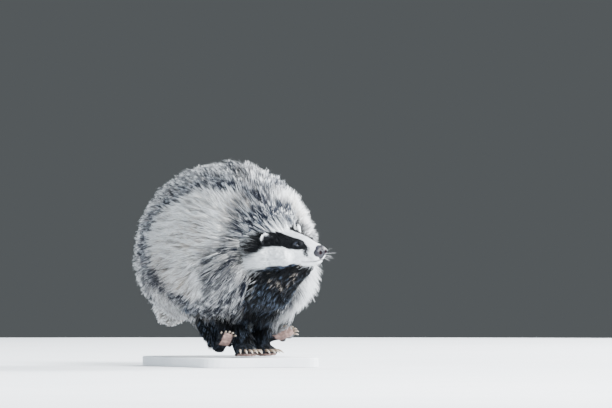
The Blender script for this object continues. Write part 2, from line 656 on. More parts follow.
EYE_LONG = unit(np.array([0.93, -0.34, 0.0]) - EYE_OUT * (np.array([0.93, -0.34, 0.0]) @ EYE_OUT))
EYE_TALL = np.cross(EYE_OUT, EYE_LONG)
EYE_TALL = EYE_TALL if EYE_TALL[2] > 0 else -EYE_TALL


def eye_space(hp):
    """Along the lids, across them and out of the head, from the middle of the eye, and the almond's reach (1 on its edge)."""
    d = mirrored(hp) - EYE_AT
    x, y, z = d @ EYE_LONG, d @ EYE_TALL, d @ EYE_OUT
    y = y + 0.10 * x                                    # the inner corner is lower
    tall = np.where(y > 0, 0.0030, 0.0027) * np.sqrt(np.clip(1 - (x / 0.0062) ** 2, 0.05, 1))
    s = np.maximum(np.abs(x) / 0.0056, np.hypot(x / 0.0056, y / tall))
    return x, y, z, s


face = is_in(ids, "head", "throat") & (h[:, 0] > -0.080)
x, y, z, s = eye_space(h)
centre = NOSE_TIP + np.stack([np.full(len(v), EYE_AT[0]), np.sign(h[:, 1]) * EYE_AT[1], np.full(len(v), EYE_AT[2])], 1) @ HEAD
ray = v - centre
rad = np.linalg.norm(ray, axis=1)
ring = face & (z > -0.001) & (np.hypot(x, y) < 0.013)
R = EYE_RADIUS
inner = smooth(0.80, 1.02, s)
want = (R - 0.0016) + inner * 0.0026                      # inside the opening the skin lies behind the ball
lid = R + 0.0010
hold = 1 - smooth(1.10, 1.75, s)                           # the lids hug the ball, then leave it for the face
new = np.where(s < 1.04, want, lid) * hold + rad * (1 - hold)
new = np.where(ring, new, rad)
v = np.where(ring[:, None], centre + ray / np.maximum(rad, 1e-9)[:, None] * new[:, None], v)
# a crease round the lids
h = to_head(v)
n = vertex_normals(v, tris)
x, y, z, s2 = eye_space(h)
crease = np.exp(-((s - 1.95) / 0.22) ** 2) * ring
v = v - n * (0.00045 * crease)[:, None]
# the mouth's line and the lip under it
q = mirrored(to_head(v))
FLAT = np.array([0.70, 0.35, 1.0])                     # the skin lies a coat's depth inside the line
dist, along = to_line(q * FLAT, MOUTH * FLAT)
mouth_skin = is_in(ids, "head", "throat") & (q[:, 0] > -0.046)
v = v - n * (0.0012 * np.exp(-(dist / 0.0010) ** 2) * mouth_skin)[:, None]
dl, _ = to_line((q + np.array([0, 0, 0.0032])) * FLAT, MOUTH * FLAT)
v = v + n * (0.0005 * np.exp(-(dl / 0.0018) ** 2) * mouth_skin)[:, None]
# whisker rows: low swellings on the lip
rows_v = np.zeros(len(v))
for i in range(5):
    for j in range(3):
        c = np.array([-0.0155 - 0.0052 * i, 0.0140 + 0.0006 * i, -0.0085 - 0.0032 * j + 0.0004 * i])
        rows_v += np.exp(-(np.linalg.norm(q - c, axis=1) / 0.0016) ** 2)
v = v + n * (0.00035 * rows_v)[:, None]
v = diffuse(v, e, len(v), 2, 0.35, np.where(ring | (dist < 0.004) & mouth_skin, 1.0, 0.0))
h = to_head(v)
n = vertex_normals(v, tris)
set_points(skin_mesh, v)
print("skin", len(v), len(tris))

# ---- markings ------------------------------------------------------------------------------
# The black stripe's edges round the head, as angles above the level of its middle, by
# distance behind the nose tip. Both sides are alike.
STRIPE_HIGH = np.array([(-0.190, -8), (-0.175, 0), (-0.152, 14), (-0.138, 28), (-0.124, 38), (-0.107, 51), (-0.094, 69), (-0.077, 68), (-0.060, 67),
                        (-0.0485, 68), (-0.040, 68), (-0.030, 56), (-0.0255, 46), (-0.015, 40)])
STRIPE_LOW = np.array([(-0.175, -26), (-0.150, -21), (-0.137, -15), (-0.125, -9), (-0.116, -4), (-0.106, 5), (-0.098, 11), (-0.076, 19),
                       (-0.060, 19), (-0.051, 19), (-0.037, 28), (-0.030, 38), (-0.0255, 43), (-0.015, 60)])
THROAT_EDGE = np.array([(-0.170, -36), (-0.135, -37), (-0.1055, -33), (-0.097, -30), (-0.0746, -28), (-0.0637, -38),
                        (-0.047, -53), (-0.034, -72), (-0.027, -95), (-0.010, -120)])
# the black of the belly and chest, as an angle from straight down, by place along the body
BIB = np.array([(-0.30, 24), (-0.20, 25), (-0.10, 28), (-0.04, 40), (0.01, 49), (0.04, 37), (0.09, 28), (0.13, 26), (0.16, 32), (0.18, 44)])
# the line round the light flank where the banding is darkest: place along the body, by angle from straight down
RING = np.array([(30, 0.050), (58, 0.005), (68, -0.045), (80, -0.086), (95, -0.107), (110, -0.122), (125, -0.108), (134, -0.062),
                 (144, -0.012), (152, 0.018), (160, 0.045), (166, 0.062), (172, 0.088), (180, 0.106)])
# the white blaze that runs on from the cheek, in the head's frame
BLAZE = np.array([(-0.110, 0.055, -0.010), (-0.120, 0.058, -0.020), (-0.128, 0.058, -0.036), (-0.136, 0.062, -0.054), (-0.141, 0.065, -0.072), (-0.145, 0.068, -0.090)])
# a few pale tufts in the black of the throat
FLECKS = np.array([(-0.107, -48), (-0.097, -60), (-0.092, -72), (-0.079, -75), (-0.064, -68), (-0.059, -56)])
FLECKS = np.stack([np.interp(np.linspace(0, 5, 21), np.arange(6), FLECKS[:, i]) for i in (0, 1)], 1)


def table(t, x):
    return pchip(t[:, 0], t[:, 1], x)


def flow_noise(points, hp, scale, seed):
    """Noise drawn out along the lie of the coat, so that neighbouring tufts make streaks."""
    x, yb, zb = points.T
    front = smooth(0.085, 0.135, x) * smooth(0.27, 0.20, zb)
    fa = unit(np.array([-1.0, 0, -0.22]))
    fb = unit(np.stack([np.full(len(points), -0.50), 0.45 * np.sign(yb), np.full(len(points), -0.95)], 1))
    a = wander(points - (points @ fa)[:, None] * fa * 0.84, scale, seed)[:, 0]
    b = wander(points - np.sum(points * fb, axis=1, keepdims=True) * fb * 0.84, scale, seed + 1)[:, 0]
    ang = np.arctan2(hp[:, 2] + 0.004, hp[:, 1])
    rad = np.hypot(hp[:, 1], hp[:, 2] + 0.004)
    c = wander(np.stack([np.cos(ang) * 0.080, np.sin(ang) * 0.080, (hp[:, 0] + 0.6 * rad) * 0.22], 1), scale, seed + 2)[:, 0]
    ruff = smooth(-0.225, -0.175, hp[:, 0]) * smooth(0.13, 0.10, rad) * smooth(0.16, 0.20, zb)
    return (a * (1 - front) + b * front) * (1 - ruff) + c * ruff


def marks(points, label):
    """Colours of the coat at points of the skin: the root and tip colour of each hair, how dark its
    band is, and how much of the hair is short face fur."""
    n = len(points)
    nz = wander(points, 0.010, 3)
    flow = flow_noise(points, to_head(points), 0.0062, 21)
    fine = flow_noise(points, to_head(points), 0.0034, 41)
    wide_nz = wander(points, 0.045, 5)
    hp = to_head(points)
    u, w = hp[:, 0], hp[:, 2]
    side = np.abs(hp[:, 1])
    phi = np.degrees(np.arctan2(w + 0.006, side))
    radius = np.hypot(hp[:, 1], w + 0.006)
    rough = nz[:, 0] * 3.0
    on_head = is_in(label, "head", "ear_left", "ear_right") | (is_in(label, "throat", "neck") & (u > -0.150) & (radius < 0.062))
    grey = np.full(n, 0.0)

    # ---- the body
    x, yb, zb = points.T
    psi = np.degrees(np.arctan2(np.abs(yb), 0.19 - zb))
    bib = smooth(6, -6, psi - table(BIB, x) + wide_nz[:, 0] * 12 + nz[:, 1] * 8 + flow * (10 + 26 * smooth(0.09, 0.13, x)))
    bib = np.where(x < -0.235, bib * smooth(-0.27, -0.235, x), bib)
    legs = is_in(label, "foreleg_left", "foreleg_right", "hindleg_left", "hindleg_right", *PAWS)
    bib = np.where(legs, smooth(0.118, 0.100, zb + wide_nz[:, 1] * 0.02), bib)
    bib = np.where(is_in(label, "hindleg_right"), smooth(-0.010, 0.010, x + 0.014 + 0.8 * (0.071 - zb) + nz[:, 0] * 0.012), bib)
    bib = np.where(is_in(label, "hindleg_left"), smooth(-0.010, 0.010, x + 0.070 + 0.8 * (0.085 - zb) + nz[:, 0] * 0.012), bib)
    bib = np.where(is_in(label, "tail"), 0.0, bib)
    throat = is_in(label, "throat")
    bib = np.where(throat, smooth(0.072, 0.056, np.abs(hp[:, 1]) + nz[:, 0] * 0.012), bib)
    blaze_d, _ = to_line(mirrored(hp), BLAZE)
    blaze = smooth(0.025, 0.015, blaze_d + nz[:, 2] * 0.004 + flow * 0.012)
    # the far side of the chest is pale down to the leg
    far = smooth(0.052, 0.068, yb + nz[:, 1] * 0.010) * smooth(0.000, 0.040, x) * smooth(0.21, 0.17, zb)
    blaze = np.maximum(blaze, 0.85 * far)
    bib = bib * (1 - blaze)
    # how strongly the guard hairs are banded: light on the flank, darkest on a line round it
    d = x - 0.024 - table(RING, psi) + wide_nz[:, 0] * 0.026
    flank = smooth(-0.008, 0.058, d) * smooth(40, 62, psi)
    ring_on = np.exp(-(d / 0.028) ** 2)
    shoulder = smooth(-0.012, 0.018, x - (0.106 + (zb - 0.19) * 0.42) + wide_nz[:, 1] * 0.020)
    dark = 0.90 + 0.24 * ring_on - 0.72 * flank * (1 - 0.9 * shoulder)
    dark = np.maximum(dark, 0.92 * shoulder * smooth(0.235, 0.205, zb))
    dark += 0.16 * smooth(18, 4, psi - table(BIB, x))
    dark -= 0.10 * smooth(0.045, 0.070, yb) * smooth(0.06, 0.10, x) * smooth(0.20, 0.24, zb)
    dark -= 0.45 * smooth(-0.19, -0.25, x) * smooth(0.17, 0.11, zb)
    dark += wide_nz[:, 2] * 0.08 + (fine * 0.6 + flow * 0.4) * (0.95 + 0.45 * shoulder)
    thigh = is_in(label, "hindleg_left", "hindleg_right") | (is_in(label, "trunk") & (zb < 0.11) & (x < -0.03))
    dark = np.where(thigh, 0.40 + nz[:, 0] * 0.3, dark)
    dark = np.where(is_in(label, "tail"), 0.22 + nz[:, 0] * 0.2, dark)
    dark = dark + 0.30 * np.exp(-(((x + 0.035) / 0.050) ** 2 + ((psi - 72) / 16) ** 2))
    dark *= 1 - 0.92 * blaze
    dark = np.clip(dark, 0.03, 1)
    warm = np.exp(-(((x + 0.025) / 0.060) ** 2 + ((psi - 76) / 17) ** 2))
    buff = np.clip(0.25 + wide_nz[:, 1] * 0.8 + 0.75 * warm, 0, 1) * smooth(0.35, 0.27, zb) * (1 - shoulder)
    buff = np.where(is_in(label, "tail"), np.clip(0.45 + nz[:, 1] * 0.9, 0, 1), buff)
    root = CREAM * (1 - buff[:, None]) + BUFF * buff[:, None]
    tip = WHITE * (1 - flank[:, None]) + FLANK * flank[:, None]
    tip = tip * (1 - 0.56 * ring_on[:, None]) + SLATE * 0.56 * ring_on[:, None]
    tip = tip * (1.10 + 0.60 * fine[:, None])
    tip = tip * (1 - 0.55 * warm[:, None]) + (BUFF * 1.12) * 0.55 * warm[:, None]
    root = root * (1 - blaze[:, None]) + WHITE * blaze[:, None]
    tip = tip * (1 - blaze[:, None]) + WHITE * blaze[:, None]
    fleck = np.min([np.hypot(u - at - 0.010, 0.070 * np.radians(phi - turn)) for at, turn in FLECKS], axis=0)
    fleck = smooth(0.0066, 0.0030, fleck + flow * 0.008) * np.clip(0.70 + 1.4 * fine, 0, 0.9)
    black_tip = BLACK * 1.6 + (SLATE - BLACK * 1.6) * np.clip(0.24 + fine * 2.0, 0, 0.9)[:, None]
    black_tip = black_tip * (1 - fleck[:, None]) + BUFF * 0.92 * fleck[:, None]
    root = root * (1 - bib[:, None]) + BLACK * bib[:, None]
    tip = tip * (1 - bib[:, None]) + black_tip * bib[:, None]
    dark = dark * (1 - bib)

    # ---- the head
    p = phi + rough
    hi_edge, lo_edge = table(STRIPE_HIGH, u), table(STRIPE_LOW, u)
    soft = 2.5 + 7 * smooth(-0.10, -0.14, u)
    stripe = smooth(lo_edge - soft, lo_edge + soft, p) * smooth(hi_edge + soft, hi_edge - soft, p) * smooth(-0.0245, -0.028, u)
    under = smooth(table(THROAT_EDGE, u) + soft, table(THROAT_EDGE, u) - soft, p) * smooth(-0.024, -0.030, u)
    streak_w = 0.0027 + 0.0015 * smooth(-8, 30, phi)
    streak = np.exp(-((u + 0.0278 - 0.00003 * (phi - 10) + nz[:, 0] * 0.003) / streak_w) ** 2) * smooth(-24, -8, phi) * smooth(52, 40, phi)
    streak = np.clip(streak * (1.35 + 0.25 * smooth(-10, 25, phi)), 0, 0.985)
    black = np.clip(np.maximum(stripe, under) + streak, 0, 1)
    # behind the ear the stripe breaks into streaks
    black = black * (1 - smooth(-0.118, -0.145, u) * smooth(-0.12, 0.22, fine) * 0.8)
    # the crown greys towards the neck
    crown = smooth(-0.098, -0.122, u) * smooth(hi_edge - 4, hi_edge + 6, phi)
    ears = is_in(label, "ear_left", "ear_right")
    for sd, name in ((-1, "ear_right"), (1, "ear_left")):
        at, fc, wd, hg = EAR_FRAMES[sd]
        d = points - at
        a, b = d @ wd / 0.0128, d @ hg / 0.0160
        reach = np.hypot(a, np.maximum(b, 0) / 0.95)
        rim = smooth(0.74, 0.88, reach) * smooth(0.36, 0.60, b) * smooth(-0.66, -0.42, a) * smooth(0.95, 0.75, a)
        if sd > 0:
            rim = 0.92 * smooth(0.10, 0.40, b + nz[:, 0] * 0.15)
        black = np.where(is_in(label, name), 1 - rim, black)
    hc = np.tile(WHITE, (n, 1))
    head_root = hc * (1 - black[:, None]) + BLACK * black[:, None]
    head_root = head_root * (1 - crown[:, None]) + SLATE * crown[:, None] * 0.8
    shaded = under * np.clip(0.10 + 1.9 * fine, 0, 0.7) * smooth(-0.034, -0.046, u)
    ink = BLACK + (SLATE - BLACK) * shaded[:, None]
    head_tip = hc * (1 - black[:, None]) + ink * black[:, None]
    head_tip = head_tip * (1 - fleck[:, None]) + BUFF * 0.92 * fleck[:, None]
    m = on_head.astype(float)
    root = root * (1 - m[:, None]) + head_root * m[:, None]
    tip = tip * (1 - m[:, None]) + (head_tip * (1 - crown[:, None]) + WHITE * crown[:, None]) * m[:, None]
    dark = dark * (1 - m) + crown * np.clip(0.95 + 0.9 * fine, 0, 1) * m
    # the black stripe and the white cheek run on into the neck's ruff
    ruff = (~on_head) & is_in(label, "neck", "trunk", "throat") & (u > -0.200)
    run = smooth(-0.195, -0.155, u) * ruff
    st = smooth(lo_edge - 6, lo_edge + 5, p) * smooth(hi_edge + 4, hi_edge - 8, p) * smooth(-0.190, -0.150, u) * ruff * (1 - blaze) * smooth(0.34, -0.10, fine)
    ck = smooth(table(THROAT_EDGE, u) - 2, table(THROAT_EDGE, u) + 6, p) * smooth(lo_edge + 2, lo_edge - 8, p) * run * smooth(0.105, 0.085, radius)
    collar = smooth(-0.182, -0.158, u) * ruff * smooth(20, 36, p)      # the nape: dark hair with white ends
    root = root * (1 - 0.75 * st[:, None]) + BLACK * 0.75 * st[:, None]
    tip = tip * (1 - 0.62 * st[:, None]) + BLACK * 0.62 * st[:, None]
    root = root * (1 - ck[:, None]) + WHITE * ck[:, None]
    tip = tip * (1 - ck[:, None]) + WHITE * ck[:, None]
    root = root * (1 - 0.8 * collar[:, None]) + SLATE * 0.8 * collar[:, None]
    tip = tip * (1 - collar[:, None]) + WHITE * collar[:, None]
    dark = np.clip(np.maximum(np.maximum(dark * (1 - ck), 0.95 * st), collar * np.clip(0.95 + 0.9 * fine, 0, 1)), 0, 1)

    # a dark zone behind the ruff's white ends
    zone = smooth(-0.212, -0.190, u) * smooth(-0.152, -0.168, u) * smooth(44, 62, p) * is_in(label, "neck", "trunk") * smooth(0.12, 0.10, radius)
    zone = zone * np.clip(0.62 + 1.3 * fine, 0, 1)
    tip = tip * (1 - 0.40 * zone[:, None]) + SLATE * 0.40 * zone[:, None]
    dark = np.maximum(dark, 0.95 * zone)

    # ---- bare soles
    sole = np.zeros(n)
    for name, pw in PAWS.items():
        k = is_in(label, name)
        if k.any():
            d = (points - np.array(pw["at"])) @ paw_turn(pw).T
            sole = np.where(k, d[:, 2] * 1000, sole)
    return root, tip, dark, black * m, sole


def soles(points, normals, label):
    """How far each point is bare sole: underneath a paw, facing down in the paw's own frame."""
    out = np.zeros(len(points))
    for name, pw in PAWS.items():
        k = is_in(label, name)
        t = paw_turn(pw)
        d = (points - np.array(pw["at"])) @ t.T
        nn = normals @ t.T
        if pw["hind"]:
            under = smooth(-0.15, -0.50, nn[:, 2]) * smooth(0.001, -0.003, d[:, 2]) * smooth(0.024, 0.034, d[:, 0])
            toes = smooth(0.048, 0.054, d[:, 0]) * smooth(0.2, -0.1, nn[:, 2])
            under = np.maximum(under, toes) * smooth(0.0105, 0.0085, np.abs(d[:, 1]))
        else:
            under = smooth(-0.30, -0.60, nn[:, 2]) * smooth(-0.009, -0.013, d[:, 2])
        out = np.where(k, under, out)
    return out


# ---- how the coat lies --------------------------------------------------------------------------
def coat_fields(points, normals, label):
    """At each point of the skin: which way the hair lies, its length, the lifts of its root and tip
    half in degrees, its width, and how many locks stand on a square metre."""
    n = len(points)
    hp = to_head(points)
    u, w = hp[:, 0], hp[:, 2]
    radius = np.hypot(hp[:, 1], w + 0.006)
    x, yb, zb = points.T
    radial = unit(points - head_point(0, 0, -0.004) - HU * u[:, None])
    lie = np.tile(np.array([-1.0, 0, 0]), (n, 1))
    side = np.sign(yb)
    lie[:, 2] = -0.12 - 0.30 * smooth(0.22, 0.12, zb) - 1.2 * smooth(-0.19, -0.27, x)
    lie[:, 0] = -1 + 0.45 * smooth(-0.17, -0.26, x)
    front = smooth(0.10, 0.145, x)
    lie[:, 0] += 0.55 * front * smooth(0.25, 0.18, zb)
    lie[:, 2] -= 0.75 * front * smooth(0.25, 0.18, zb)
    lie[:, 1] += side * 0.45 * front
    length = np.full(n, 0.049)
    flat = np.exp(-(((x - 0.03) / 0.11) ** 2 + ((zb - 0.215) / 0.07) ** 2))
    lift_a, lift_b = 48.0 - 8 * flat, 29.0 - 12 * flat
    width = np.full(n, 0.00132)
    dense = np.full(n, 330000.0)
    psi = np.degrees(np.arctan2(np.abs(yb), 0.19 - zb))
    sh = smooth(-0.012, 0.018, x - (0.106 + (zb - 0.19) * 0.42)) * smooth(0.25, 0.20, zb)
    lift_a, lift_b, length = lift_a - 14 * sh, lift_b - 11 * sh, length + 0.008 * sh
    below = smooth(50, 30, psi)
    length = length * (1 - below) + 0.030 * below
    lift_a = lift_a - 14 * below
    lift_b = lift_b - 12 * below
    dense = dense * (1 - 0.45 * below)
    hem = smooth(0.118, 0.095, zb) * smooth(0.015, -0.015, x) * smooth(20, 30, psi)      # the haunch's lower edge hangs
    lie[:, 2] -= 0.9 * hem
    brisket = smooth(0.112, 0.092, zb) * smooth(0.03, 0.05, x) * smooth(38, 28, psi)      # so does the brisket's, between the forelegs
    lie[:, 2] -= 0.9 * brisket
    hem = np.maximum(hem, brisket)
    length, lift_a, lift_b = length + 0.012 * hem, lift_a + 10 * hem, lift_b + 18 * hem

    k = is_in(label, "tail")
    fan = np.clip((yb - yb[k].mean()) / 0.012, -1, 1) * smooth(0.16, 0.09, zb)      # its hair spreads flat to both sides
    lie[k] = np.stack([np.full(n, -0.30), fan * 1.1, np.full(n, -0.85)], 1)[k]
    length[k] = ((0.028 + 0.014 * smooth(0.070, 0.115, zb)) * (1 - 0.65 * smooth(-0.15, -0.65, normals[:, 2])))[k]
    lift_a[k], lift_b[k], dense[k] = 42, 22, 520000
    k = is_in(label, "foreleg_left", "foreleg_right", "hindleg_left", "hindleg_right")
    lie[k] = (-0.25, 0, -1)
    legs_low = smooth(0.125, 0.075, zb)
    length[k] = (0.036 * (1 - legs_low) + np.where(x > 0.02, 0.028, 0.022) * legs_low)[k]
    lift_a[k], lift_b[k] = 34, 16
    width[k] = 0.0011
    dense[k] = 420000
    for name, pw in PAWS.items():
        k = is_in(label, name)
        lie[k] = paw_turn(pw)[0] + np.array([0, 0, -0.1])
        length[k], lift_a[k], lift_b[k], width[k], dense[k] = 0.0065, 16, 4, 0.0007, 900000

    k = is_in(label, "neck")
    near = smooth(-0.220, -0.165, u)[:, None]
    back = -HU * 0.60 + radial * 1.0
    lie[k] = (back * near + lie * (1 - near))[k]
    lift_a[k] = (46 + 9 * near[:, 0])[k]
    lift_b[k] = (27 + 9 * near[:, 0])[k]
    length[k] = 0.047
    dense[k] = (340000 + 90000 * near[:, 0])[k]
    k = is_in(label, "throat")
    lie[k] = (-HU * 0.7 + np.array([-0.1, 0, -0.8]))[k] if np.ndim(-HU * 0.7) > 1 else -HU * 0.7 + np.array([-0.1, 0, -0.8])
    length[k], lift_a[k], lift_b[k], dense[k] = 0.024, 34, 12, 420000

    k = is_in(label, "head")
    lie[k] = (-HU + 0.25 * radial)[k]
    c = head_coat(u)
    length[k] = np.clip(c * 2.6 + 0.0025, 0.0036, 0.040)[k]
    lift_a[k] = (14 + 24 * smooth(-0.035, -0.13, u))[k]
    lift_b[k] = (5 + 11 * smooth(-0.045, -0.13, u))[k]
    width[k] = (0.00062 + 0.0005 * smooth(-0.04, -0.14, u))[k]
    dense[k] = (1750000 - 1150000 * smooth(-0.045, -0.120, u))[k]
    for sd, name in ((-1, "ear_right"), (1, "ear_left")):
        k = is_in(label, name)
        at, fc, wd, hg = EAR_FRAMES[sd]
        d = points - at
        lie[k] = (hg * 0.9 + wd * (d @ wd / 0.012)[:, None] * 0.6)[k]
        length[k], lift_a[k], lift_b[k], width[k], dense[k] = 0.0058, 20, 8, 0.0006, 2200000
    return lie, length, lift_a, lift_b, width, dense


# ---- the skin's unwrap ---------------------------------------------------------------------------
def unwrap(v, tris, label):
    """Lays the skin out by its own shape: each form's faces are parted by which way they look, and each
    part is laid flat in a cell of its own. Gives the place of every triangle corner."""
    fn = unit(np.cross(v[tris[:, 1]] - v[tris[:, 0]], v[tris[:, 2]] - v[tris[:, 0]]))
    axis = np.argmax(np.abs(fn), axis=1)
    way = axis * 2 + (fn[np.arange(len(tris)), axis] > 0)
    form = label[tris[:, 0]]
    uv = np.zeros((len(tris), 3, 2))
    cells = []
    for k in range(len(LABELS)):
        for d in range(6):
            m = (form == k) & (way == d)
            if m.sum() < 8:
                continue
            keep = [i for i in range(3) if i != d // 2]
            p = v[tris[m]][:, :, keep]
            lo, hi = p.reshape(-1, 2).min(0), p.reshape(-1, 2).max(0)
            cells.append([m, p - lo, hi - lo])
    # shelves: tallest first, at the largest scale that fits the square
    cells.sort(key=lambda c: -c[2][1])
    scale = 2.2
    while True:
        gap, px, py, tall, ok = 0.004, 0.004, 0.004, 0.0, True
        spots = []
        for m, p, size in cells:
            w_, h_ = size * scale
            if px + w_ + gap > 1:
                px, py, tall = gap, py + tall + gap, 0.0
            if py + h_ + gap > 1 or px + w_ + gap > 1:
                ok = False
                break
            spots.append((px, py))
            px += w_ + gap
            tall = max(tall, h_)
        if ok:
            break
        scale *= 0.97
    for (m, p, size), (px, py) in zip(cells, spots):
        uv[m] = p * scale + (px, py)
    print("unwrap scale", round(scale, 3))
    return uv


skin_uv = unwrap(v, tris, ids)


# ---- materials -------------------------------------------------------------------------------------
def new_material(name, roughness=0.6, specular=0.3):
    m = bpy.data.materials.new(name)
    m.use_nodes = True
    nt = m.node_tree
    s = nt.nodes["Principled BSDF"]
    s.inputs["Roughness"].default_value = roughness
    s.inputs["Specular IOR Level"].default_value = specular
    return m, nt, s


def node(nt, kind, **values):
    n = nt.nodes.new(kind)
    for k, x in values.items():
        setattr(n, k, x)
    return n


def attribute(nt, name):
    return node(nt, "ShaderNodeAttribute", attribute_name=name)


def ramp(nt, source, *stops):
    r = node(nt, "ShaderNodeValToRGB")
    el = r.color_ramp.elements
    while len(el) > 1:
        el.remove(el[-1])
    el[0].position, c = stops[0]
    el[0].color = (c, c, c, 1) if np.isscalar(c) else (*c, 1)
    for pos, c in stops[1:]:
        q = el.new(pos)
        q.color = (c, c, c, 1) if np.isscalar(c) else (*c, 1)
    nt.links.new(source, r.inputs["Fac"])
    return r.outputs["Color"]


def mixed(nt, fac, a, b, how="MIX"):
    m = node(nt, "ShaderNodeMix", data_type="RGBA", blend_type=how)
    for socket, x in ((m.inputs[0], fac), (m.inputs[6], a), (m.inputs[7], b)):
        if isinstance(x, bpy.types.NodeSocket):
            nt.links.new(x, socket)
        elif np.isscalar(x):
            socket.default_value = x
        else:
            socket.default_value = (*x, 1)
    return m.outputs[2]


def maths(nt, how, a, b=None):
    m = node(nt, "ShaderNodeMath", operation=how)
    for socket, x in ((m.inputs[0], a), (m.inputs[1], b)):
        if isinstance(x, bpy.types.NodeSocket):
            nt.links.new(x, socket)
        elif x is not None:
            socket.default_value = x
    return m.outputs[0]


def noise_at(nt, scale, detail=4.0, vector=None, rough=0.55):
    n = node(nt, "ShaderNodeTexNoise")
    n.inputs["Scale"].default_value = scale
    n.inputs["Detail"].default_value = detail
    n.inputs["Roughness"].default_value = rough
    if vector is None:
        vector = node(nt, "ShaderNodeTexCoord").outputs["Object"]
    nt.links.new(vector, n.inputs["Vector"])
    return n.outputs["Fac"]


def bumped(nt, shader, height, strength, distance):
    b = node(nt, "ShaderNodeBump")
    b.inputs["Strength"].default_value = strength
    b.inputs["Distance"].default_value = distance
    nt.links.new(height, b.inputs["Height"])
    nt.links.new(b.outputs["Normal"], shader.inputs["Normal"])


# the coat: root, dark band and pale tip, along each lock
COAT, nt, s = new_material("coat", 0.62, 0.13)
along, roots, tips = attribute(nt, "along"), attribute(nt, "root_colour"), attribute(nt, "tip_colour")
t = along.outputs["Fac"]
pale = ramp(nt, t, (0.62, 0.0), (0.78, 1.0))
band = ramp(nt, t, (0.30, 0.0), (0.42, 1.0), (0.79, 1.0), (0.90, 0.0))
col = mixed(nt, pale, roots.outputs["Color"], tips.outputs["Color"])
col = mixed(nt, maths(nt, "MULTIPLY", band, tips.outputs["Alpha"]), col, BAND)
col = mixed(nt, 1.0, col, ramp(nt, t, (0.0, 0.18), (0.40, 0.66), (0.66, 1.0)), "MULTIPLY")
nt.links.new(col, s.inputs["Base Color"])

# the skin: the coat's own colours under it, short nap on the face, bare soles
SKIN, nt, s = new_material("skin", 0.72, 0.2)
mark, lay = attribute(nt, "mark"), attribute(nt, "lay")
fine_nap = noise_at(nt, 1.0, 3.0, lay.outputs["Vector"], 0.6)
col = mixed(nt, 1.0, mark.outputs["Color"], ramp(nt, fine_nap, (0.30, 0.72), (0.65, 1.06)), "MULTIPLY")
bare = attribute(nt, "bare").outputs["Fac"]
leather = noise_at(nt, 900.0, 4.0)
flesh = ramp(nt, noise_at(nt, 120.0, 3.0), (0.30, tuple(linear(100, 82, 78))), (0.55, tuple(linear(142, 116, 108))),
             (0.75, tuple(linear(172, 144, 133))))
col = mixed(nt, bare, col, flesh)
lid = attribute(nt, "lid").outputs["Fac"]
col = mixed(nt, lid, col, ramp(nt, noise_at(nt, 500.0, 2.0), (0.35, tuple(linear(24, 27, 34))), (0.65, tuple(linear(40, 44, 54)))))
nt.links.new(col, s.inputs["Base Color"])
bump_src = mixed(nt, bare, fine_nap, leather)
bumped(nt, s, bump_src, 0.55, 0.0006)

EYE, nt, s = new_material("eye_glass", 0.04, 0.6)
g = attribute(nt, "iris").outputs["Fac"]
col = ramp(nt, g, (0.0, tuple(linear(4, 4, 6))), (0.36, tuple(linear(4, 4, 6))), (0.42, tuple(linear(40, 27, 20))),
           (0.66, tuple(linear(30, 20, 16))), (0.74, tuple(linear(10, 9, 10))), (1.0, tuple(linear(26, 24, 26))))
nt.links.new(mixed(nt, ramp(nt, noise_at(nt, 900.0), (0.35, 0.0), (0.7, 0.35)), col, tuple(linear(18, 12, 10))), s.inputs["Base Color"])
s.inputs["Coat Weight"].default_value = 1.0
s.inputs["Coat Roughness"].default_value = 0.02
s.inputs["IOR"].default_value = 1.42

NOSE, nt, s = new_material("nose_leather", 0.46, 0.34)
cell = node(nt, "ShaderNodeTexVoronoi")
cell.feature = "DISTANCE_TO_EDGE"
cell.inputs["Scale"].default_value = 1500.0
nt.links.new(node(nt, "ShaderNodeTexCoord").outputs["Object"], cell.inputs["Vector"])
deep = attribute(nt, "deep").outputs["Fac"]
col = ramp(nt, noise_at(nt, 260.0, 4.0), (0.32, tuple(linear(11, 10, 17))), (0.62, tuple(linear(22, 22, 33))),
           (0.80, tuple(linear(38, 38, 52))))
col = mixed(nt, deep, col, tuple(linear(34, 8, 14)))
nt.links.new(col, s.inputs["Base Color"])
pebble = ramp(nt, cell.outputs["Distance"], (0.0, 0.0), (0.22, 1.0))
bumped(nt, s, pebble, 0.35, 0.00022)
s.inputs["Coat Weight"].default_value = 0.12
s.inputs["Coat Roughness"].default_value = 0.30

HORN, nt, s = new_material("claw_horn", 0.38, 0.4)
g = attribute(nt, "grow").outputs["Fac"]
stretch = node(nt, "ShaderNodeMapping")
stretch.inputs["Scale"].default_value = (0.25, 1.0, 1.0)
nt.links.new(node(nt, "ShaderNodeTexCoord").outputs["Object"], stretch.inputs["Vector"])
grain = noise_at(nt, 900.0, 3.0, stretch.outputs["Vector"])
col = ramp(nt, g, (0.0, tuple(linear(74, 62, 56))), (0.45, tuple(linear(138, 122, 106))), (1.0, tuple(linear(206, 196, 182))))
col = mixed(nt, ramp(nt, grain, (0.35, 0.0), (0.7, 0.35)), col, tuple(linear(108, 90, 76)))
nt.links.new(col, s.inputs["Base Color"])
bumped(nt, s, grain, 0.25, 0.0002)

WHISKER, nt, s = new_material("whisker", 0.35, 0.5)
g = attribute(nt, "grow").outputs["Fac"]
nt.links.new(ramp(nt, g, (0.0, tuple(linear(120, 118, 120))), (0.25, tuple(linear(225, 226, 230))), (1.0, tuple(linear(245, 246, 250)))),
             s.inputs["Base Color"])

